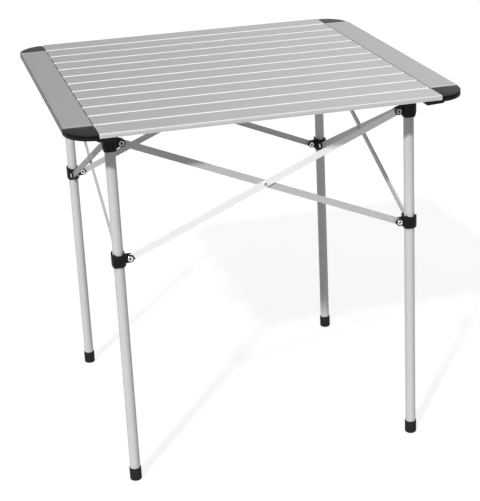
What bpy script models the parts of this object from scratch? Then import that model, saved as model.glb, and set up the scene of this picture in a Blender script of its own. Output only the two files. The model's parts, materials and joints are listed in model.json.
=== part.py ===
"""Folding camp table: a roll-up slatted top on a four-sided scissor frame.

Metres, +Z up, +X along the slats, +Y to the rear. The origin is on the floor, below the
middle of the top. The frame is the same on all four sides, so its pieces are made once and
turned a quarter turn from corner to corner: front left, front right, rear right, rear left.
"""
import math

import bmesh
import bpy
from mathutils import Matrix, Vector

# Gaps between pieces
FIT_GAP = 0.0003
PIN_GAP = 0.00035
SLIDE_GAP = 0.0005
SLAT_END_GAP = 0.0012

# Slatted top
TOP_HEIGHT = 0.685
TOP_LENGTH = 0.700
SLAT_COUNT = 12
SLAT_PITCH = 0.060
SLAT_GAP = 0.001
SLAT_THICKNESS = 0.008
SLAT_WALL = 0.0012
SLAT_LIP = 0.0032
SLAT_EDGE = 0.0006
SLAT_GROOVE_DEPTH = 0.0009

# Side rails
RAIL_WIDTH = 0.052
RAIL_WALL = 0.0016
RAIL_EDGE = 0.0014
RAIL_GROOVE_HEIGHT = 0.0024
RAIL_GROOVE_DEPTH = 0.0024
LEDGE_REACH = 0.012
LEDGE_THICKNESS = 0.002

# Corner caps
CAP_DEPTH = 0.058
CAP_RECESS = 0.0012
CAP_PROUD = 0.0012
CAP_EDGE = 0.0014
CAP_GROOVE_HEIGHT = 0.0022
CAP_GROOVE_DEPTH = 0.0024
CAP_ARC_STEPS = 10
SPIGOT_LENGTH = 0.025
TONGUE_REACH = 0.032
TONGUE_ROOT = 0.006
TONGUE_WIDTH = 0.021
TONGUE_THICKNESS = 0.0023
TONGUE_DROP = 0.005
TONGUE_RISE = 0.0015
TONGUE_BEVEL = 0.004

# Legs and feet
LEG_INSET = 0.081
LEG_RADIUS = 0.0095
LEG_WALL = 0.0012
FOOT_RADIUS = 0.011
FOOT_HEIGHT = 0.025
FOOT_FLOOR = 0.003
FOOT_ROUND = 0.003

# Scissor bars
BAR_WIDTH = 0.012
BAR_THICKNESS = 0.003
PIVOT_DROP = 0.044
PIVOT_RISE = 0.2088

# Rivets
PIN_RADIUS = 0.0025
HEAD_RADIUS = 0.005
HEAD_THICKNESS = 0.0012

# Top brackets and sliders
LUG_REACH = 0.020
LUG_RADIUS = 0.007
PRONG_THICKNESS = 0.0025
LUG_POINT = 0.0015
SOCKET_WALL = 0.0012
BRACKET_WIDTH = 0.026
BRACKET_CORNER = 0.009
BRACKET_BELOW = 0.012
BRACKET_CEILING = 0.006
BRACKET_TAPER = 0.009
SLIDER_WIDTH = 0.025
SLIDER_ABOVE = 0.018
SLIDER_BELOW = 0.0125
SLIDER_SCOOP = 0.009
SLIDER_TAPER = 0.003

# Facets
TUBE_SIDES = 20
PIN_SIDES = 12
END_STEPS = 6
LIP_STEPS = 4

# Worked out from the sizes above
TOP_DEPTH = SLAT_COUNT * SLAT_PITCH
SLAT_UNDERSIDE = TOP_HEIGHT - SLAT_THICKNESS
RAIL_INNER = TOP_LENGTH / 2 - RAIL_WIDTH
RAIL_LENGTH = TOP_DEPTH - 2 * SLAT_PITCH
RAIL_BOTTOM = SLAT_UNDERSIDE - FIT_GAP - LEDGE_THICKNESS
RAIL_MIDDLE = (TOP_HEIGHT + RAIL_BOTTOM) / 2
LEG_OFFSET = TOP_LENGTH / 2 - LEG_INSET
PIVOT_SPAN = 2 * (LEG_OFFSET - LUG_REACH)
BAR_LENGTH = math.hypot(PIVOT_SPAN, PIVOT_RISE)
OPEN_ANGLE = math.atan2(PIVOT_RISE, PIVOT_SPAN)
UPPER_PIVOT = TOP_HEIGHT - PIVOT_DROP
LOWER_PIVOT = UPPER_PIVOT - PIVOT_RISE
BRACKET_ABOVE = SLAT_UNDERSIDE - FIT_GAP - UPPER_PIVOT
LEG_TOP = UPPER_PIVOT + BRACKET_ABOVE - BRACKET_CEILING - FIT_GAP
LEG_BOTTOM = FOOT_FLOOR + FIT_GAP
BAR_OFFSET = (BAR_THICKNESS + FIT_GAP) / 2
SLOT_HALF = BAR_THICKNESS + FIT_GAP / 2 + PIN_GAP
LUG_HALF = SLOT_HALF + PRONG_THICKNESS

CORNERS = ("front_left", "front_right", "rear_right", "rear_left")
SIDES = ("front", "right", "rear", "left")
CORNER_SIGNS = {"front_left": (-1, -1), "front_right": (1, -1), "rear_right": (1, 1), "rear_left": (-1, 1)}

COLLECTION = "folding_camp_table"
ANODISED = ("anodised_aluminium", (0.62, 0.63, 0.64), 0.32, 1.0)
TUBE_METAL = ("tube_aluminium", (0.70, 0.71, 0.72), 0.28, 1.0)
BAR_METAL = ("bar_aluminium", (0.68, 0.69, 0.70), 0.30, 1.0)
RIVET_METAL = ("rivet_steel", (0.72, 0.72, 0.72), 0.25, 1.0)
BLACK_NYLON = ("black_nylon", (0.018, 0.018, 0.019), 0.45, 0.0)
BLACK_RUBBER = ("black_rubber", (0.012, 0.012, 0.012), 0.70, 0.0)


def clear_scene():
    """Remove everything that a new scene starts with."""
    for thing in list(bpy.data.objects):
        bpy.data.objects.remove(thing, do_unlink=True)


def new_collection(name):
    """Make a collection in the scene."""
    collection = bpy.data.collections.new(name)
    bpy.context.scene.collection.children.link(collection)
    return collection


def make_material(name, colour, roughness, metallic):
    """Make a plain material for one piece."""
    material = bpy.data.materials.new(name)
    material.use_nodes = True
    shader = material.node_tree.nodes["Principled BSDF"]
    shader.inputs["Base Color"].default_value = (*colour, 1.0)
    shader.inputs["Roughness"].default_value = roughness
    shader.inputs["Metallic"].default_value = metallic
    return material


def circle(radius, sides, centre=(0.0, 0.0)):
    """Points of a regular polygon, its first corner on +X."""
    step = 2 * math.pi / sides
    return [
        (centre[0] + radius * math.cos(i * step), centre[1] + radius * math.sin(i * step))
        for i in range(sides)
    ]


def bore(radius, gap, sides):
    """Radius of a faceted hole that leaves a gap all round a shaft."""
    return (radius + gap) / math.cos(math.pi / sides)


def arc(centre, radius, start, end, steps):
    """Points of an arc, its angles in degrees."""
    angles = [math.radians(start + (end - start) * i / steps) for i in range(steps + 1)]
    return [(centre[0] + radius * math.cos(a), centre[1] + radius * math.sin(a)) for a in angles]


def rounded_square(width, corner, steps=4):
    """Points of a square with round corners."""
    inner = width / 2 - corner
    points = []
    for turn, (x, y) in enumerate(((1, 1), (-1, 1), (-1, -1), (1, -1))):
        points += arc((x * inner, y * inner), corner, 90 * turn, 90 * turn + 90, steps)
    return points


def mirrored(half):
    """An outline from its right half, which runs from the top to the bottom."""
    return half + [(-x, y) for x, y in reversed(half)]


def closed(mesh):
    """Weld a mesh's loose caps and turn its faces outwards."""
    work = bmesh.new()
    work.from_mesh(mesh)
    bmesh.ops.remove_doubles(work, verts=work.verts, dist=1e-6)
    bmesh.ops.recalc_face_normals(work, faces=work.faces)
    work.to_mesh(mesh)
    work.free()
    return mesh


def temporary(name, data):
    """Link a working object that is removed once its mesh is finished."""
    thing = bpy.data.objects.new(name, data)
    thing.hide_render = True
    thing.display_type = "WIRE"
    cutters.objects.link(thing)
    return thing


def evaluated_mesh(thing):
    """The object's mesh with its modifiers in it; the object itself is removed."""
    graph = bpy.context.evaluated_depsgraph_get()
    mesh = bpy.data.meshes.new_from_object(thing.evaluated_get(graph))
    bpy.data.objects.remove(thing, do_unlink=True)
    return mesh


def prism(loops, depth, matrix=Matrix.Identity(4)):
    """A flat outline with its holes, given a thickness about its own plane."""
    curve = bpy.data.curves.new("outline", "CURVE")
    curve.dimensions = "2D"
    curve.fill_mode = "BOTH"
    curve.extrude = depth / 2
    for loop in loops:
        spline = curve.splines.new("POLY")
        spline.points.add(len(loop) - 1)
        for point, (x, y) in zip(spline.points, loop):
            point.co = (x, y, 0.0, 1.0)
        spline.use_cyclic_u = True
    mesh = evaluated_mesh(temporary("outline", curve))
    mesh.transform(matrix)
    return closed(mesh)


def loft(sections):
    """A solid through level outlines that have the same number of points."""
    work = bmesh.new()
    rings = [[work.verts.new((x, y, z)) for x, y in points] for z, points in sections]
    for lower, upper in zip(rings, rings[1:]):
        for i in range(len(lower)):
            work.faces.new((lower[i - 1], lower[i], upper[i], upper[i - 1]))
    work.faces.new(reversed(rings[0]))
    work.faces.new(rings[-1])
    mesh = bpy.data.meshes.new("loft")
    work.to_mesh(mesh)
    work.free()
    return closed(mesh)


def turned(profile, sides):
    """A turned piece on the Z axis, from a profile that runs down its outer side."""
    mesh = bpy.data.meshes.new("profile")
    edges = [(i, i + 1) for i in range(len(profile) - 1)]
    mesh.from_pydata([(r, 0.0, z) for r, z in profile], edges, [])
    thing = temporary("profile", mesh)
    screw = thing.modifiers.new("turn", "SCREW")
    screw.steps = sides
    screw.render_steps = sides
    screw.use_merge_vertices = True
    screw.merge_threshold = 0.00001
    return closed(evaluated_mesh(thing))


def cylinder(radius, depth, sides, matrix=Matrix.Identity(4)):
    """A plain cylinder about the Z axis, then moved by the matrix."""
    work = bmesh.new()
    bmesh.ops.create_cone(
        work, cap_ends=True, segments=sides, radius1=radius, radius2=radius, depth=depth, matrix=matrix
    )
    mesh = bpy.data.meshes.new("cylinder")
    work.to_mesh(mesh)
    work.free()
    return mesh


def block(low, high):
    """A box between two corners."""
    work = bmesh.new()
    bmesh.ops.create_cube(work, size=1.0)
    size = Vector(high) - Vector(low)
    bmesh.ops.scale(work, vec=size, verts=work.verts)
    bmesh.ops.translate(work, vec=Vector(low) + size / 2, verts=work.verts)
    mesh = bpy.data.meshes.new("block")
    work.to_mesh(mesh)
    work.free()
    return mesh


def combined(base, tools, operation):
    """Join or cut a mesh with others, one after another."""
    for tool in tools:
        body = temporary("body", base)
        other = temporary("tool", tool)
        boolean = body.modifiers.new("boolean", "BOOLEAN")
        boolean.operation = operation
        boolean.solver = "EXACT"
        boolean.object = other
        base = evaluated_mesh(body)
        bpy.data.objects.remove(other, do_unlink=True)
    return base


def moved(mesh, matrix):
    """A copy of a mesh, moved by the matrix."""
    copy = mesh.copy()
    copy.transform(matrix)
    if matrix.determinant() < 0:
        copy.flip_normals()
    return copy


def pivot(name, place):
    """An empty on a joint's axis, which carries the pieces that move there."""
    empty = bpy.data.objects.new(name, None)
    empty.empty_display_size = 0.02
    empty.location = place
    parts.objects.link(empty)
    return empty


def add_part(name, mesh, finish, place=(0.0, 0.0, 0.0), turn=0.0, carrier=None, tilt=0.0):
    """Add a named piece, turned about Z and tilted in its own plane, on its carrier."""
    thing = bpy.data.objects.new(name, mesh.copy())
    thing.data.materials.clear()
    thing.data.materials.append(make_material(f"{name}_{finish[0]}", *finish[1:]))
    thing.data.shade_smooth()
    thing.data.set_sharp_from_angle(angle=math.radians(35))
    thing.rotation_euler = (0.0, tilt, turn)
    thing.location = Vector(place)
    if carrier is not None:
        thing.parent = carrier
        thing.location = Vector(place) - carrier.location
    parts.objects.link(thing)
    return thing


def slat_mesh():
    """A hollow slat along X, its middle at the origin and its top face at Z = 0."""
    half = (SLAT_PITCH - SLAT_GAP) / 2
    groove = half - SLAT_GROOVE_DEPTH
    right = [
        *arc((half - SLAT_LIP, -SLAT_LIP), SLAT_LIP, 90, 0, LIP_STEPS),
        (groove, -SLAT_LIP - SLAT_GROOVE_DEPTH / 2),
        (groove, -SLAT_THICKNESS * 0.71),
        (half, -SLAT_THICKNESS * 0.79),
        (half, SLAT_EDGE - SLAT_THICKNESS),
        (half - SLAT_EDGE, -SLAT_THICKNESS),
    ]
    near, far = SLAT_WALL / 2, groove - SLAT_WALL
    high, low = -SLAT_WALL, SLAT_WALL - SLAT_THICKNESS
    chamber = [(near, high), (far, high), (far, low), (near, low)]
    loops = [mirrored(right), chamber, [(-x, y) for x, y in chamber]]
    length = 2 * (RAIL_INNER - SLAT_END_GAP)
    upright = Matrix(((0, 0, 1, 0), (1, 0, 0, 0), (0, 1, 0, 0), (0, 0, 0, 1)))
    return prism(loops, length, upright)


def rail_mesh():
    """The right side rail: a hollow wing whose inner ledge carries the slats' ends."""
    outer = TOP_LENGTH / 2
    slot_low = RAIL_MIDDLE - RAIL_GROOVE_HEIGHT / 2
    slot_high = RAIL_MIDDLE + RAIL_GROOVE_HEIGHT / 2
    slot_end = outer - RAIL_GROOVE_DEPTH
    outline = [
        (RAIL_INNER - LEDGE_REACH, RAIL_BOTTOM),
        (outer - RAIL_EDGE, RAIL_BOTTOM),
        (outer, RAIL_BOTTOM + RAIL_EDGE),
        (outer, slot_low),
        (slot_end, slot_low),
        (slot_end, slot_high),
        (outer, slot_high),
        (outer, TOP_HEIGHT - RAIL_EDGE),
        (outer - RAIL_EDGE * 0.29, TOP_HEIGHT - RAIL_EDGE * 0.29),
        (outer - RAIL_EDGE, TOP_HEIGHT),
        (RAIL_INNER + RAIL_EDGE / 2, TOP_HEIGHT),
        (RAIL_INNER, TOP_HEIGHT - RAIL_EDGE / 2),
        (RAIL_INNER, RAIL_BOTTOM + LEDGE_THICKNESS),
        (RAIL_INNER - LEDGE_REACH, RAIL_BOTTOM + LEDGE_THICKNESS),
    ]
    chamber = [
        (RAIL_INNER + RAIL_WALL, RAIL_BOTTOM + RAIL_WALL),
        (slot_end - RAIL_WALL, RAIL_BOTTOM + RAIL_WALL),
        (slot_end - RAIL_WALL, TOP_HEIGHT - RAIL_WALL),
        (RAIL_INNER + RAIL_WALL, TOP_HEIGHT - RAIL_WALL),
    ]
    return prism([outline, chamber], RAIL_LENGTH, Matrix.Rotation(math.pi / 2, 4, "X"))


def corner_outline(inset):
    """A cap's outline: square to the top's middle, a quarter ellipse outside."""
    across = RAIL_WIDTH - FIT_GAP - inset
    along = CAP_DEPTH - inset
    angles = [math.pi / 2 * i / CAP_ARC_STEPS for i in range(CAP_ARC_STEPS + 1)]
    return [(0.0, 0.0)] + [(across * math.cos(a), along * math.sin(a)) for a in angles]


def cap_mesh():
    """The rear right corner cap, its inner corner at X = Y = 0, with its spigot and tongue."""
    low, high = RAIL_BOTTOM - CAP_PROUD, TOP_HEIGHT - CAP_RECESS
    body = loft([
        (low, corner_outline(CAP_EDGE)),
        (low + CAP_EDGE * 0.29, corner_outline(CAP_EDGE * 0.29)),
        (low + CAP_EDGE, corner_outline(0.0)),
        (RAIL_MIDDLE - CAP_GROOVE_HEIGHT / 2, corner_outline(0.0)),
        (RAIL_MIDDLE - CAP_GROOVE_HEIGHT / 4, corner_outline(CAP_GROOVE_DEPTH)),
        (RAIL_MIDDLE + CAP_GROOVE_HEIGHT / 4, corner_outline(CAP_GROOVE_DEPTH)),
        (RAIL_MIDDLE + CAP_GROOVE_HEIGHT / 2, corner_outline(0.0)),
        (high - CAP_EDGE, corner_outline(0.0)),
        (high - CAP_EDGE * 0.29, corner_outline(CAP_EDGE * 0.29)),
        (high, corner_outline(CAP_EDGE)),
    ])
    near = RAIL_WALL
    far = RAIL_WIDTH - RAIL_GROOVE_DEPTH - RAIL_WALL - 2 * FIT_GAP
    floor, ceiling = RAIL_BOTTOM + RAIL_WALL + FIT_GAP, TOP_HEIGHT - RAIL_WALL - FIT_GAP
    spigot = block((near, -SPIGOT_LENGTH, floor), (far, CAP_EDGE, ceiling))
    top = SLAT_UNDERSIDE - FIT_GAP
    bottom = top - TONGUE_THICKNESS - TONGUE_DROP
    inside = TONGUE_THICKNESS / 2
    outline = [
        (-TONGUE_REACH, top),
        (-TONGUE_REACH, top - TONGUE_THICKNESS),
        (-TONGUE_REACH + TONGUE_BEVEL, bottom),
        (TONGUE_ROOT - TONGUE_DROP, bottom + TONGUE_RISE),
        (TONGUE_ROOT, RAIL_BOTTOM),
        (TONGUE_ROOT, RAIL_BOTTOM + inside),
        (inside, top),
    ]
    middle = Matrix.Translation((0.0, CAP_DEPTH - CAP_EDGE - TONGUE_WIDTH / 2, 0.0))
    tongue = prism([outline], TONGUE_WIDTH, middle @ Matrix.Rotation(math.pi / 2, 4, "X"))
    return combined(body, [spigot, tongue], "UNION")


def leg_mesh():
    """A leg tube, from the foot's floor to the bracket's ceiling."""
    length = LEG_TOP - LEG_BOTTOM
    middle = Matrix.Translation((0.0, 0.0, (LEG_TOP + LEG_BOTTOM) / 2))
    return prism([circle(LEG_RADIUS, TUBE_SIDES), circle(LEG_RADIUS - LEG_WALL, TUBE_SIDES)], length, middle)


def foot_mesh():
    """A cup-shaped foot with a rounded bottom edge."""
    socket = bore(LEG_RADIUS, FIT_GAP, TUBE_SIDES)
    round_edge = arc((FOOT_RADIUS - FOOT_ROUND, FOOT_ROUND), FOOT_ROUND, 0, -90, 3)
    profile = [
        (0.0, FOOT_FLOOR),
        (socket, FOOT_FLOOR),
        (socket, FOOT_HEIGHT),
        (FOOT_RADIUS - 0.0003, FOOT_HEIGHT),
        (FOOT_RADIUS, FOOT_HEIGHT - 0.0006),
        *round_edge,
        (0.0, 0.0),
    ]
    return turned(profile, TUBE_SIDES)


def bar_mesh(middle_hole):
    """A flat bar along X with round ends, pierced at its ends and perhaps its middle."""
    half = BAR_LENGTH / 2
    right_end = arc((half, 0.0), BAR_WIDTH / 2, -90, 90, END_STEPS)
    left_end = arc((-half, 0.0), BAR_WIDTH / 2, 90, 270, END_STEPS)
    hole = bore(PIN_RADIUS, PIN_GAP, PIN_SIDES)
    places = (-half, 0.0, half) if middle_hole else (-half, half)
    holes = [circle(hole, PIN_SIDES, (x, 0.0)) for x in places]
    return prism([right_end + left_end, *holes], BAR_THICKNESS, Matrix.Rotation(math.pi / 2, 4, "X"))


def rivet_mesh(front, back):
    """A rivet along Y, its dimpled heads starting front and back of the middle."""
    head = [
        (0.0, HEAD_THICKNESS * 0.4),
        (HEAD_RADIUS * 0.42, HEAD_THICKNESS),
        (HEAD_RADIUS * 0.82, HEAD_THICKNESS),
        (HEAD_RADIUS, 0.0),
        (PIN_RADIUS, 0.0),
    ]
    profile = [(r, front + z) for r, z in head] + [(r, -back - z) for r, z in reversed(head)]
    return moved(turned(profile, PIN_SIDES), Matrix.Rotation(math.pi / 2, 4, "X"))


def riveted_bar_mesh():
    """The outer bar of a crossed pair, with the rivet that is set in its middle."""
    stack = BAR_THICKNESS + FIT_GAP / 2
    rivet = rivet_mesh(stack - FIT_GAP, stack + FIT_GAP)
    return combined(bar_mesh(False), [moved(rivet, Matrix.Translation((0, BAR_OFFSET, 0)))], "UNION")


def lug_pair(outline):
    """Two lugs in a corner fitting: one towards +X and one towards +Y, pivots at Z = 0."""
    along_x = prism([outline], 2 * LUG_HALF, Matrix.Rotation(math.pi / 2, 4, "X"))
    across = Matrix.Rotation(math.pi / 2, 4, "Z") @ Matrix.Scale(-1, 4, (0, 1, 0))
    return [along_x, moved(along_x, across)]


def forked(body, width):
    """Cut the slots and the pin holes into a fitting's two lugs."""
    start = width / 2 - FIT_GAP
    end = LUG_REACH + 2 * LUG_RADIUS
    tall = 2 * LUG_RADIUS + LUG_REACH
    hole = bore(PIN_RADIUS, PIN_GAP, PIN_SIDES)
    along_y = Matrix.Rotation(math.pi / 2, 4, "X")
    along_x = Matrix.Rotation(math.pi / 2, 4, "Y")
    reach = LUG_REACH
    return combined(body, [
        block((start, -SLOT_HALF, -tall), (end, SLOT_HALF, tall)),
        block((-SLOT_HALF, start, -tall), (SLOT_HALF, end, tall)),
        cylinder(hole, 4 * LUG_HALF, PIN_SIDES, Matrix.Translation((reach, 0, 0)) @ along_y),
        cylinder(hole, 4 * LUG_HALF, PIN_SIDES, Matrix.Translation((0, reach, 0)) @ along_x),
    ], "DIFFERENCE")


def bracket_mesh():
    """The front left top bracket about its leg's axis, its pivots at Z = 0."""
    tip = 2 * (bore(LEG_RADIUS, FIT_GAP, TUBE_SIDES) + SOCKET_WALL)
    narrow = rounded_square(tip, BRACKET_CORNER * tip / BRACKET_WIDTH)
    full = rounded_square(BRACKET_WIDTH, BRACKET_CORNER)
    edge = rounded_square(BRACKET_WIDTH - 2 * FIT_GAP, BRACKET_CORNER)
    body = loft([
        (-BRACKET_BELOW, narrow),
        (-BRACKET_BELOW + BRACKET_TAPER, full),
        (BRACKET_ABOVE - FIT_GAP, full),
        (BRACKET_ABOVE, edge),
    ])
    root = LEG_RADIUS + PIN_GAP + SLIDE_GAP + FIT_GAP
    outline = [
        (root, -BRACKET_BELOW + BRACKET_TAPER / 3),
        *arc((LUG_REACH, 0.0), LUG_RADIUS, -125, 90, END_STEPS + 4),
        (root, LUG_RADIUS + BRACKET_TAPER / 3),
    ]
    body = combined(body, lug_pair(outline), "UNION")
    socket = bore(LEG_RADIUS, FIT_GAP, TUBE_SIDES)
    depth = BRACKET_BELOW + BRACKET_ABOVE - BRACKET_CEILING
    middle = -BRACKET_BELOW - 0.005 + (depth + 0.005) / 2
    drill = cylinder(socket, depth + 0.005, TUBE_SIDES, Matrix.Translation((0, 0, middle)))
    return forked(combined(body, [drill], "DIFFERENCE"), BRACKET_WIDTH)


def slider_mesh():
    """The front left slider about its leg's axis: a collar with a scooped rim and two lugs."""
    tip = 2 * (bore(LEG_RADIUS, SLIDE_GAP, TUBE_SIDES) + SOCKET_WALL)
    narrow = rounded_square(tip, BRACKET_CORNER * tip / SLIDER_WIDTH)
    full = rounded_square(SLIDER_WIDTH, BRACKET_CORNER)
    body = loft([
        (-SLIDER_BELOW, narrow),
        (-SLIDER_BELOW + SLIDER_TAPER, full),
        (SLIDER_ABOVE, full),
    ])
    root = LEG_RADIUS + PIN_GAP + SLIDE_GAP + FIT_GAP
    point = (LUG_REACH + LUG_RADIUS + LUG_POINT, 0.0)
    outline = [
        (root, -LUG_RADIUS),
        *arc((LUG_REACH, 0.0), LUG_RADIUS, -90, -40, 3),
        point,
        *arc((LUG_REACH, 0.0), LUG_RADIUS, 40, 90, 3),
        (root, LUG_RADIUS),
    ]
    body = combined(body, lug_pair(outline), "UNION")
    chord = SLIDER_WIDTH / 2 - SLIDE_GAP
    scoop = (chord ** 2 + SLIDER_SCOOP ** 2) / (2 * SLIDER_SCOOP)
    lift = Matrix.Translation((0, 0, SLIDER_ABOVE - SLIDER_SCOOP + scoop))
    long = 4 * LUG_REACH
    body = combined(body, [
        cylinder(bore(LEG_RADIUS, SLIDE_GAP, TUBE_SIDES), 6 * SLIDER_ABOVE, TUBE_SIDES),
        cylinder(scoop, long, 2 * TUBE_SIDES, lift @ Matrix.Rotation(math.pi / 2, 4, "X")),
        cylinder(scoop, long, 2 * TUBE_SIDES, lift @ Matrix.Rotation(math.pi / 2, 4, "Y")),
    ], "DIFFERENCE")
    return forked(body, SLIDER_WIDTH)


def slat_y(number):
    """The middle of a slat, counted from 1 at the front."""
    return -TOP_DEPTH / 2 + SLAT_PITCH * (number - 0.5)


def add_top():
    """The slats, each on the hinge line it shares with the slat nearer the second one."""
    mesh = slat_mesh()
    for number in range(1, SLAT_COUNT + 1):
        towards_base = SLAT_PITCH / 2 if number == 1 else -SLAT_PITCH / 2
        hinge = pivot(f"slat_{number:02d}_pivot", (0.0, slat_y(number) + towards_base, TOP_HEIGHT))
        add_part(f"slat_{number:02d}", mesh, ANODISED, (0.0, slat_y(number), TOP_HEIGHT), carrier=hinge)


def add_side(name, side, rail, cap):
    """A rail with its two caps, which pull out sideways together."""
    carrier = pivot(f"{name}_rail_pivot", (side * TOP_LENGTH / 2, 0.0, TOP_HEIGHT))
    across = Matrix.Scale(side, 4, (1, 0, 0))
    add_part(f"{name}_side_rail", moved(rail, across), ANODISED, carrier=carrier)
    for end, direction in (("front", -1), ("rear", 1)):
        corner = Vector((side * (RAIL_INNER + FIT_GAP), direction * (RAIL_LENGTH / 2 + FIT_GAP), 0.0))
        facing = across @ Matrix.Scale(direction, 4, (0, 1, 0))
        add_part(f"{end}_{name}_corner_cap", moved(cap, facing), BLACK_NYLON, corner, carrier=carrier)


def add_lug_rivets(fitting, index, place, turn, mesh, carrier):
    """The two rivets of a fitting's lugs, named for the sides that their bars lie on."""
    along_x = Vector((LUG_REACH, 0.0, 0.0))
    along_y = Vector((0.0, LUG_REACH, 0.0))
    for side, reach, extra in ((SIDES[index], along_x, 0.0), (SIDES[index - 1], along_y, -math.pi / 2)):
        spot = Vector(place) + Matrix.Rotation(turn, 4, "Z") @ reach
        add_part(f"{fitting}_{side}_rivet", mesh, RIVET_METAL, spot, turn + extra, carrier)


def add_corner(index, meshes):
    """A leg with its foot and bracket, and the slider that runs on it."""
    name = CORNERS[index]
    turn = index * math.pi / 2
    sign_x, sign_y = CORNER_SIGNS[name]
    x, y = sign_x * LEG_OFFSET, sign_y * LEG_OFFSET
    upper, lower = (x, y, UPPER_PIVOT), (x, y, LOWER_PIVOT)
    inward = -sign_x * LUG_REACH
    leg_pivot = pivot(f"{name}_leg_pivot", (x + inward, y, UPPER_PIVOT))
    slider_pivot = pivot(f"{name}_slider_pivot", (x + inward, y, LOWER_PIVOT))
    add_part(f"{name}_leg_tube", meshes["leg"], TUBE_METAL, (x, y, 0.0), turn, leg_pivot)
    add_part(f"{name}_foot", meshes["foot"], BLACK_RUBBER, (x, y, 0.0), turn, leg_pivot)
    add_part(f"{name}_bracket", meshes["bracket"], BLACK_NYLON, upper, turn, leg_pivot)
    add_lug_rivets(f"{name}_bracket", index, upper, turn, meshes["rivet"], leg_pivot)
    add_part(f"{name}_slider", meshes["slider"], BLACK_NYLON, lower, turn, slider_pivot)
    add_lug_rivets(f"{name}_slider", index, lower, turn, meshes["rivet"], slider_pivot)


def add_scissor(index, meshes):
    """Two bars that cross on one side: one rises and one falls from its first corner."""
    name = SIDES[index]
    turn = index * math.pi / 2
    spin = Matrix.Rotation(turn, 4, "Z")
    height = (UPPER_PIVOT + LOWER_PIVOT) / 2
    centre = pivot(f"{name}_scissor_pivot", spin @ Vector((0.0, -LEG_OFFSET, height)))
    outer = spin @ Vector((0.0, -LEG_OFFSET - BAR_OFFSET, height))
    inner = spin @ Vector((0.0, -LEG_OFFSET + BAR_OFFSET, height))
    add_part(f"{name}_rising_bar", meshes["riveted_bar"], BAR_METAL, outer, turn, centre, -OPEN_ANGLE)
    add_part(f"{name}_falling_bar", meshes["bar"], BAR_METAL, inner, turn, centre, OPEN_ANGLE)


def build():
    """Make every piece of the table."""
    meshes = {
        "leg": leg_mesh(),
        "foot": foot_mesh(),
        "bracket": bracket_mesh(),
        "slider": slider_mesh(),
        "bar": bar_mesh(True),
        "riveted_bar": riveted_bar_mesh(),
        "rivet": rivet_mesh(LUG_HALF + FIT_GAP, LUG_HALF + FIT_GAP),
    }
    for index in range(len(CORNERS)):
        add_corner(index, meshes)
        add_scissor(index, meshes)
    add_top()
    rail, cap = rail_mesh(), cap_mesh()
    for name, side in (("left", -1), ("right", 1)):
        add_side(name, side, rail, cap)


clear_scene()
parts = new_collection(COLLECTION)
cutters = new_collection("cutters")
build()
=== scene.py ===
"""Folding camp table, dressed for its studio picture. Metres, +Z up, on the CAD frame."""
import json
import math

import bmesh
import bpy
import numpy as np
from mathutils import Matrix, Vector

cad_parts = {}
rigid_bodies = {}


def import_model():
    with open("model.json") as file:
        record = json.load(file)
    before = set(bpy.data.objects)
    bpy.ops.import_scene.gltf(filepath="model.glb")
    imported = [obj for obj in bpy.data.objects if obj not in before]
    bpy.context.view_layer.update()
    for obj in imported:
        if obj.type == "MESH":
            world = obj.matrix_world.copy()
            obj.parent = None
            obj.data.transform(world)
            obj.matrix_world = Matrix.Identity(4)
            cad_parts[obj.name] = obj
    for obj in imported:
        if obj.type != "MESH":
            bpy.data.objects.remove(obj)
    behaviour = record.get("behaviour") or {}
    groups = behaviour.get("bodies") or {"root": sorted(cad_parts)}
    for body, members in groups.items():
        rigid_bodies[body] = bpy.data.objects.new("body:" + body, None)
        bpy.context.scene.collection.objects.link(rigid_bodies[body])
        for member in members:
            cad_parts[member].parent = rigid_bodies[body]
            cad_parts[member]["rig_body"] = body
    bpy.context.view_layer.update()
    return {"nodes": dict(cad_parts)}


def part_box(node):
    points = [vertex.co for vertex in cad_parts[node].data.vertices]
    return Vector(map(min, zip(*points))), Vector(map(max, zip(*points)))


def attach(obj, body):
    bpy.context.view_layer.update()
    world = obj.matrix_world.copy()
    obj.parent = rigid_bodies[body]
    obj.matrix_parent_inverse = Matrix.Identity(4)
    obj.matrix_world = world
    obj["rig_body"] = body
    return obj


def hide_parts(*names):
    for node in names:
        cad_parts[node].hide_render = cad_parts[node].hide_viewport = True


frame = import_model()


# Camera and studio: the camera stands at the front left, a little above the top. The floor and
# the low backdrop are plain white paper, lit by a soft dome and one key lamp from the front left.
camera_turn = (70.037, 2.216, -15.884)
camera_data = bpy.data.cameras.new("camera")
camera_data.lens = 102.993
camera_data.shift_x = -0.0649
camera_data.shift_y = -0.0394
camera = bpy.data.objects.new("camera", camera_data)
camera.location = (-0.61409, -2.58429, 1.31711)
camera.rotation_euler = [math.radians(angle) for angle in camera_turn]
bpy.context.scene.collection.objects.link(camera)
bpy.context.scene.camera = camera
bpy.context.scene.view_settings.view_transform = "Standard"

towards_key = Vector((-0.50, -0.71, 0.71))
key_data = bpy.data.lights.new("key", "SUN")
key_data.energy = 3.7
key_data.angle = math.radians(3)
key = bpy.data.objects.new("key", key_data)
key.rotation_euler = towards_key.to_track_quat("Z", "Y").to_euler()
bpy.context.scene.collection.objects.link(key)

world = bpy.data.worlds.new("dome")
bpy.context.scene.world = world
world.use_nodes = True


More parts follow.
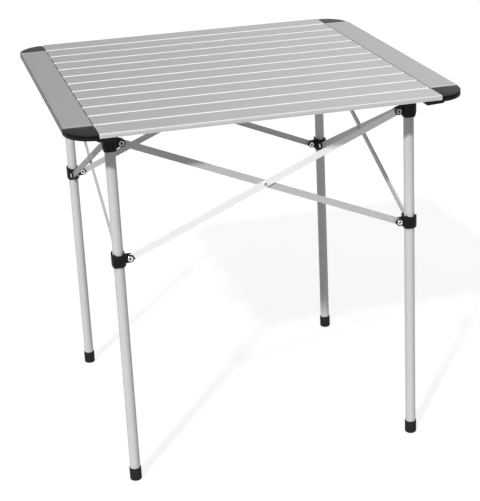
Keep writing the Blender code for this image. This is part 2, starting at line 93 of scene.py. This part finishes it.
class Link:
    """A socket of a node tree that takes part in ordinary sums, which add their Math nodes."""

    def __init__(self, tree, socket):
        self.tree = tree
        self.socket = socket

    def other(self, kind, settings=None, sockets=None, output=0):
        """Any other node: its type, its settings, what its sockets take, and the output used."""
        node = self.tree.nodes.new(kind)
        for name, value in (settings or {}).items():
            setattr(node, name, value)
        for name, value in (sockets or {}).items():
            if isinstance(value, Link):
                self.tree.links.new(value.socket, node.inputs[name])
            else:
                node.inputs[name].default_value = value
        return Link(self.tree, node.outputs[output])

    def maths(self, operation, *values):
        """A Math node on numbers and links."""
        return self.other("ShaderNodeMath", {"operation": operation}, dict(enumerate(values)))

    def __add__(self, value):
        return self.maths("ADD", self, value)

    def __sub__(self, value):
        return self.maths("SUBTRACT", self, value)

    def __rsub__(self, value):
        return self.maths("SUBTRACT", value, self)

    def __mul__(self, value):
        return self.maths("MULTIPLY", self, value)

    def __truediv__(self, value):
        return self.maths("DIVIDE", self, value)

    def __abs__(self):
        return self.maths("ABSOLUTE", self)

    __radd__ = __add__
    __rmul__ = __mul__

    def fraction(self):
        """What is left over the whole number."""
        return self.maths("FRACT", self)

    def at_least(self, value):
        """The larger of this and another."""
        return self.maths("MAXIMUM", self, value)

    def at_most(self, value):
        """The smaller of this and another."""
        return self.maths("MINIMUM", self, value)

    def axes(self):
        """The three numbers of a vector."""
        split = self.other("ShaderNodeSeparateXYZ", {}, {0: self})
        return [Link(self.tree, end) for end in split.socket.node.outputs]

    def along(self, direction):
        """How far the vector reaches along a direction."""
        sockets = {0: self, 1: direction}
        return self.other("ShaderNodeVectorMath", {"operation": "DOT_PRODUCT"}, sockets, 1)

    def distance(self, point):
        """How far the vector's end is from a point."""
        sockets = {0: self, 1: point}
        return self.other("ShaderNodeVectorMath", {"operation": "DISTANCE"}, sockets, 1)

    def stretched(self, scales):
        """The vector with each axis scaled by itself."""
        return self.other("ShaderNodeVectorMath", {"operation": "MULTIPLY"}, {0: self, 1: scales})

    def noise(self, scale, detail=2.0, roughness=0.5):
        """Smooth noise from 0 to 1 at this place."""
        return self.other("ShaderNodeTexNoise", {}, {
            "Vector": self, "Scale": scale, "Detail": detail, "Roughness": roughness})

    def rise(self, start, end):
        """0 below the start, 1 above the end, and smooth between them."""
        return self.other("ShaderNodeMapRange", {"interpolation_type": "SMOOTHSTEP"}, {
            "Value": self, "From Min": start, "From Max": end})

    def blend(self, low, high):
        """A colour between two, by this number. A single number stands for a grey."""
        low, high = [value if isinstance(value, (Link, tuple)) else (value, value, value, 1.0)
                     for value in (low, high)]
        return self.other("ShaderNodeMix", {"data_type": "RGBA"}, {0: self, 6: low, 7: high}, 2)

    def seen_directly(self):
        """1 where the eye looks straight at a thing, or sees it in metal or glass."""
        camera_ray, glossy_ray, glass_ray = [
            self.other("ShaderNodeLightPath", output=end)
            for end in ("Is Camera Ray", "Is Glossy Ray", "Is Transmission Ray")]
        return camera_ray.at_least(glossy_ray).at_least(glass_ray)


# The dome is lit behind the table, more so to the right and higher up, and overhead. Low down
# the white paper shows, wherever it is seen directly.
unlit, brightest = 0.07, 1.15
dome = world.node_tree.nodes["Background"]
dome.inputs["Color"].default_value = (1.0, 1.0, 1.0, 1.0)
sky = Link(world.node_tree, None)
right, rear, up = sky.other("ShaderNodeTexCoord").axes()
behind = rear.rise(0.1, 0.9) * (1 - right.rise(0.45, 0.80))
backdrop = behind * (0.02 + 1.3 * right + 0.55 * up.rise(0.12, 0.40))
softbox = 1.1 * up.rise(0.50, 0.85)
front = (0 - rear).at_least(0.0)
paper_sweep = sky.seen_directly() * (1 - (up - 0.40 * front).rise(0.02, 0.20))
level = (unlit + backdrop + softbox).at_least(unlit).at_most(brightest).at_least(paper_sweep)
world.node_tree.links.new(level.socket, dome.inputs["Strength"])


# Floor: a wide sheet of white paper under the table, laid flat and lit until it is nearly pure
# white. It keeps a faint shadow of the table and throws a soft grey light back up.
def new_material(name):
    """A material, its Principled shader, and the place on the object."""
    made = bpy.data.materials.new(name)
    made.use_nodes = True
    tree = made.node_tree
    place = tree.nodes.new("ShaderNodeTexCoord")
    return made, tree.nodes["Principled BSDF"], Link(tree, place.outputs["Object"])


def feed(shader, height=None, depth=0.0, **values):
    """Give a shader's sockets their values, and its Normal a height of some depth in metres."""
    for name, value in values.items():
        socket = shader.inputs[name.replace("_", " ")]
        if isinstance(value, Link):
            value.tree.links.new(value.socket, socket)
        else:
            socket.default_value = value
    if height is not None:
        bump = height.other("ShaderNodeBump", {}, {"Distance": depth, "Height": height})
        height.tree.links.new(bump.socket, shader.inputs["Normal"])


reach = 9.0
paper_grey, paper_glow = 0.90, 0.84
sheet = [(-reach, -reach, 0), (reach, -reach, 0), (reach, reach, 0), (-reach, reach, 0)]
floor_mesh = bpy.data.meshes.new("floor")
floor_mesh.from_pydata(sheet, [], [(0, 1, 2, 3)])
floor = bpy.data.objects.new("floor", floor_mesh)
bpy.context.scene.collection.objects.link(floor)
paper, shader, place = new_material("floor_paper")
direct = place.seen_directly()
thrown_back = place.noise(2.0).blend(0.36, 0.40)
feed(shader, Base_Color=direct.blend(thrown_back, paper_grey), Roughness=0.9)
glow = place.other("ShaderNodeEmission", {}, {"Color": (1.0, 1.0, 1.0, 1.0), "Strength": 1.0})
surface = Link(paper.node_tree, shader.outputs[0])
both = place.other("ShaderNodeMixShader", {}, {0: direct * paper_glow, 1: surface, 2: glow})
paper.node_tree.links.new(both.socket, paper.node_tree.nodes["Material Output"].inputs["Surface"])
floor_mesh.materials.append(paper)


# Slats: twelve hollow aluminium extrusions with a satin anodised skin. The die leaves fine lines
# along their length. The round lips by the seams carry a painted highlight, lighter and less
# metallic, and the sawn ends are bare metal, painted brighter still as a highlight on the end
# edge.
def dress(material, *names):
    """Put a material on CAD nodes that keep their shape."""
    for name in names:
        for slot in frame["nodes"][name].material_slots:
            slot.material = material


def anodised(place, fine_scales, broad_scales, cloud_scale, dark, light):
    """Fine die lines, and a skin colour that follows them, broad bands and faint clouds."""
    lines = place.stretched(fine_scales).noise(1.0, detail=3.0, roughness=0.6)
    bands = place.stretched(broad_scales).noise(1.0)
    cloud = place.noise(cloud_scale)
    return lines, (0.18 * lines + 0.2 * bands + 0.3 * cloud).blend(dark, light)


slat_count, slat_pitch = 12, 0.060
slat_end, slat_front, top_height = 0.2968, -0.3595, 0.685
die_line_depth = 0.00004
slat_metal, shader, place = new_material("slat_satin_aluminium")
x, y, z = place.axes()
lines, skin = anodised(place, (3.0, 1500.0, 1500.0), (1.5, 40.0, 40.0), 9.0,
                       (0.53, 0.535, 0.54, 1), (0.65, 0.655, 0.66, 1))
# Sawn ends: bare metal, painted brighter as a highlight along the end edge.
sawn_end_highlight = abs(x).rise(slat_end - 0.0008, slat_end - 0.0002)
slats_passed = y / slat_pitch + slat_count / 2
beside_seam = abs(slats_passed.fraction() - 0.5).rise(0.442, 0.458)
upper_part = z.rise(top_height - 0.0050, top_height - 0.0030)
# Painted highlight: the round lip beside each seam, lighter and less metallic than the skin.
lip_highlight = beside_seam * upper_part * y.rise(slat_front + 0.0003, slat_front + 0.0023)
feed(shader, Base_Color=sawn_end_highlight.blend(lip_highlight.blend(skin, 0.74), 0.84), Metallic=1 - 0.45 * lip_highlight,
     Roughness=0.29 + 0.08 * lines, height=lines, depth=die_line_depth)
dress(slat_metal, *[f"slat_{number:02d}" for number in range(1, slat_count + 1)])


# Side rails: the same aluminium extrusion, a shade darker than the slats, with its die lines
# along Y. Their sawn ends, where the corner caps plug in, carry a painted highlight, a bright
# line, and their outer walls are painted dark, as painted shade.
rail_end, rail_wall = 0.3000, 0.3500
rail_metal, shader, place = new_material("rail_satin_aluminium")
x, y, _ = place.axes()
lines, skin = anodised(place, (1500.0, 3.0, 1500.0), (60.0, 1.5, 60.0), 8.0,
                       (0.45, 0.455, 0.46, 1), (0.55, 0.555, 0.56, 1))
# Painted highlight at the sawn ends, and painted shade on the outer walls.
end_highlight = abs(y).rise(rail_end - 0.0038, rail_end - 0.0028)
outer_wall_shade = abs(x).rise(rail_wall - 0.0022, rail_wall - 0.0008)
feed(shader, Base_Color=outer_wall_shade.blend(end_highlight.blend(skin, 0.88), 0.13), Metallic=1.0,
     Roughness=0.29 + 0.08 * lines, height=lines, depth=die_line_depth)
dress(rail_metal, "left_side_rail", "right_side_rail")


# Corner caps: quarter-round corners of black nylon, from a mould with a fine spark grain. Each
# plugs into a rail's end, and its edges are rounded as the mould's are.
nylon, shader, place = new_material("black_moulded_nylon")
grain = place.noise(2600.0, detail=2.0, roughness=0.6)
cloud = place.noise(35.0, detail=3.0)
black = (0.4 * grain + 0.6 * cloud).blend((0.004, 0.004, 0.0045, 1), (0.012, 0.012, 0.0125, 1))
feed(shader, Base_Color=black, Roughness=0.30 + 0.12 * grain + 0.08 * cloud,
     Specular_IOR_Level=0.10, height=grain, depth=0.00004)


def softened(name, ending, material, width):
    """A rounded copy of a CAD node, which stands for it.

    The loose triangles are joined and flat faces made one again. Each edge sharper than 30
    degrees then becomes an arc of the given width, and the shading keeps flat faces flat.
    """
    node = frame["nodes"][name]
    mesh = node.data.copy()
    mesh.name = f"{name}_{ending}"
    mesh.attributes.remove(mesh.attributes["custom_normal"])
    shape = bmesh.new()
    shape.from_mesh(mesh)
    bmesh.ops.remove_doubles(shape, verts=shape.verts, dist=1e-6)
    bmesh.ops.dissolve_limit(shape, angle_limit=math.radians(1),
                             verts=shape.verts, edges=shape.edges)
    shape.to_mesh(mesh)
    shape.free()
    mesh.shade_smooth()
    mesh.set_sharp_from_angle(angle=math.radians(40))
    mesh.materials.clear()
    mesh.materials.append(material)
    piece = bpy.data.objects.new(f"{name}_{ending}", mesh)
    bpy.context.scene.collection.objects.link(piece)
    bevel = piece.modifiers.new("round_edges", "BEVEL")
    bevel.width = width
    bevel.segments = 2
    bevel.limit_method = "ANGLE"
    bevel.angle_limit = math.radians(30)
    bevel.harden_normals = True
    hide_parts(name)
    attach(piece, node["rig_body"])


for end in ("front", "rear"):
    for side in ("left", "right"):
        softened(f"{end}_{side}_corner_cap", "moulding", nylon, width=0.0007)


# Leg tubes: round aluminium tube, anodised light grey, with the faint lines that drawing leaves
# along its length. Each is pressed into its bracket above and its foot below.
corners = ("front_left", "front_right", "rear_right", "rear_left")
tube_metal, shader, place = new_material("leg_drawn_aluminium")
lines = place.stretched((1200.0, 1200.0, 2.0)).noise(1.0, detail=3.0, roughness=0.6)
cloud = place.stretched((20.0, 20.0, 6.0)).noise(1.0)
grey = (0.5 * lines + 0.5 * cloud).blend(0.44, 0.56)
feed(shader, Base_Color=grey, Metallic=0.10, Specular_IOR_Level=0.25,
     Roughness=0.40 + 0.10 * lines, height=lines, depth=0.00003)
dress(tube_metal, *[f"{corner}_leg_tube" for corner in corners])


# Feet: cups of soft black rubber, moulded, and pushed on the tubes' lower ends. Their skin is
# dull and a little dusty.
rubber, shader, place = new_material("black_rubber")
grain = place.noise(900.0, detail=3.0, roughness=0.6)
dust = place.stretched((60.0, 60.0, 30.0)).noise(1.0, detail=3.0)
black = dust.blend((0.004, 0.004, 0.004, 1), (0.014, 0.014, 0.0135, 1))
feed(shader, Base_Color=black, Specular_IOR_Level=0.2, Roughness=0.62 + 0.2 * grain,
     height=grain, depth=0.00008)
for corner in corners:
    softened(f"{corner}_foot", "cup", rubber, width=0.0006)


# Brackets and sliders: black nylon like the caps. The brackets are fixed on the legs' upper ends
# under the slats, and the sliders run on the legs; both carry the bars in forked lugs.
for corner in corners:
    softened(f"{corner}_bracket", "moulding", nylon, width=0.0005)
    softened(f"{corner}_slider", "moulding", nylon, width=0.0005)


# Scissor bars: flat aluminium bars with round stamped ends, brushed along their length. The
# rising bar of each crossed pair carries the rivet that is set in its middle. The front rising
# bar is painted lighter, a painted highlight, and the left rising bar darker, as painted shade.
def bar_metal(name, direction, across, tone, rivet, rivet_tone):
    """Brushed metal of some tone with lines along the bar, and a rivet spot of another tone in its
    middle.
    """
    made, shader, place = new_material(name)
    sockets = {0: place.along(direction) * 4.0, 1: place.along(across) * 1600.0, 2: 0.0}
    lines = place.other("ShaderNodeCombineXYZ", {}, sockets).noise(1.0, detail=3.0, roughness=0.6)
    cloud = place.noise(14.0)
    colour = (0.4 * lines + 0.5 * cloud).blend(0.9 * tone, 1.1 * tone)
    if rivet_tone is not None:
        # Rivet spot: painted dark on most bars, as painted shade of the rivet's bore and its
        # shadow; on the left rising bar it keeps the rivet's light plated colour.
        off_rivet = place.distance(rivet).rise(0.0034, 0.0060)
        colour = off_rivet.blend(rivet_tone, colour)
    feed(shader, Base_Color=colour, Metallic=0.15, Specular_IOR_Level=0.3,
         Roughness=0.36 + 0.12 * lines, height=lines, depth=0.00003)
    return made


upper_pivot, lower_pivot, pivot_span, bar_plane = 0.641, 0.4322, 0.498, 0.269
slope = math.atan2(upper_pivot - lower_pivot, pivot_span)
upright = Vector((0.0, 0.0, 1.0))
crossing = upright * (upper_pivot + lower_pivot) / 2
usual_tone, shaded_rivet_tone = 0.45, 0.10
# Painted light: the front rising bar lighter as a painted highlight, the left rising bar darker as
# painted shade.
painted_light_tones = {"front_rising_bar": 0.77, "left_rising_bar": 0.18}
# The dark rivet tone for most bars is painted shade; the left rising bar's light one is the
# rivet's plated colour.
rivet_tones = {"left_rising_bar": 0.85}
for index, side in enumerate(("front", "right", "rear", "left")):
    turn = index * math.pi / 2
    sideways = Vector((math.cos(turn), math.sin(turn), 0.0))
    outwards = Vector((math.sin(turn), -math.cos(turn), 0.0))
    middle = outwards * bar_plane + crossing
    for way, sign in (("rising", 1), ("falling", -1)):
        name = f"{side}_{way}_bar"
        direction = sideways * math.cos(slope) + sign * upright * math.sin(slope)
        across = upright * math.cos(slope) - sign * sideways * math.sin(slope)
        rivet_tone = rivet_tones.get(name, shaded_rivet_tone) if way == "rising" else None
        made = bar_metal(f"{side}_{way}_brushed_aluminium", tuple(direction), tuple(across),
                         painted_light_tones.get(name, usual_tone), tuple(middle), rivet_tone)
        softened(name, "stamping", made, width=0.0004)


# Eyelet rivets: tubes of plated steel, rolled over at both ends through the lugs and the bar.
# Each is one turned piece with a rolled rim and an open bore, whose inside is painted dark as
# painted shade. The brackets' rivets are painted darker all over, as painted shade under the top.
def rivet_metal(name, dark, light):
    """Plated steel with its bore painted dark as painted shade, by the rim radius's share at each
    point.
    """
    made, shader, place = new_material(name)
    share = place.other("ShaderNodeAttribute", {"attribute_name": "radius"}, {}, 2)
    fine = place.noise(700.0, detail=3.0, roughness=0.6)
    # Painted shade: the bore, inside 30 to 50 per cent of the rim's radius, is painted near black.
    colour = share.rise(0.30, 0.50).blend(0.05, fine.blend(dark, light))
    feed(shader, Base_Color=colour, Metallic=1.0, Roughness=0.20 + 0.14 * fine,
         height=fine, depth=0.00002)
    return made


def turned_piece(name, profile, around, centre, axis):
    """A closed turned surface: a profile of radius and height, carried round an axis.

    Point (i, j) lies at the centre, plus height i along the axis, plus radius i times the
    direction that is j steps round it. The profile's two ends lie on the axis, as one point each,
    and a fan of triangles closes the surface there.
    """
    radius, along = np.array(profile).T
    angle = 2 * np.pi * np.arange(around) / around
    first = np.roll(axis, 1)
    second = np.cross(axis, first)
    spoke = np.cos(angle)[:, None] * first + np.sin(angle)[:, None] * second
    points = centre + along[:, None, None] * axis + radius[:, None, None] * spoke[None]
    points = np.concatenate([points[0, :1], points[1:-1].reshape(-1, 3), points[-1, :1]])
    here, there = np.arange(around), np.roll(np.arange(around), -1)
    low = 1 + np.arange(len(radius) - 3)[:, None] * around
    quads = np.stack([low + here, low + around + here, low + around + there, low + there], -1)
    last = len(points) - 1
    ring = last - around
    fans = np.concatenate([np.stack([0 * here, 1 + here, 1 + there], -1),
                           np.stack([0 * here + last, ring + there, ring + here], -1)])
    mesh = bpy.data.meshes.new(name)
    mesh.from_pydata(points.tolist(), [], quads.reshape(-1, 4).tolist() + fans.tolist())
    share = np.concatenate([[0.0], np.repeat(radius[1:-1], around), [0.0]]) / radius.max()
    shares = mesh.attributes.new("radius", "FLOAT", "POINT").data
    shares.foreach_set("value", share.astype(np.float32))
    thing = bpy.data.objects.new(name, mesh)
    bpy.context.scene.collection.objects.link(thing)
    return thing


bright_rivet = rivet_metal("rivet_plated_steel", 0.66, 0.82)
# Painted shade: the brackets' rivets are a darker copy of the same plated steel.
shaded_rivet = rivet_metal("rivet_steel_painted_shade", 0.26, 0.40)
head_height = 0.0012
bore = [(0.0, -0.0022), (0.0017, -0.0020), (0.0021, -0.0008)]
rim_radius, rim_half_width, rim_base, rim_rise = 0.00360, 0.00138, 0.0002, 0.00095
roll = np.linspace(1.0, -0.2, 9) * np.pi
rim = np.stack([rim_radius + rim_half_width * np.cos(roll), rim_base + rim_rise * np.sin(roll)], 1)
shank = (0.0025, -0.0002)
for name in frame["nodes"]:
    if not name.endswith("_rivet"):
        continue
    low, high = (np.array(corner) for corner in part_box(name))
    size = high - low
    axis = (size == size.max()).astype(float)
    lug_face = size.max() / 2 - head_height
    upper = [(radius, lug_face + height) for radius, height in (*bore, *rim, shank)]
    profile = upper + [(radius, -height) for radius, height in reversed(upper)]
    rivet = turned_piece(f"{name}_eyelet", profile, around=24, centre=(low + high) / 2, axis=axis)
    rivet.data.materials.append(shaded_rivet if "bracket" in name else bright_rivet)
    rivet.data.shade_smooth()
    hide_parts(name)
    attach(rivet, frame["nodes"][name]["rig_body"])
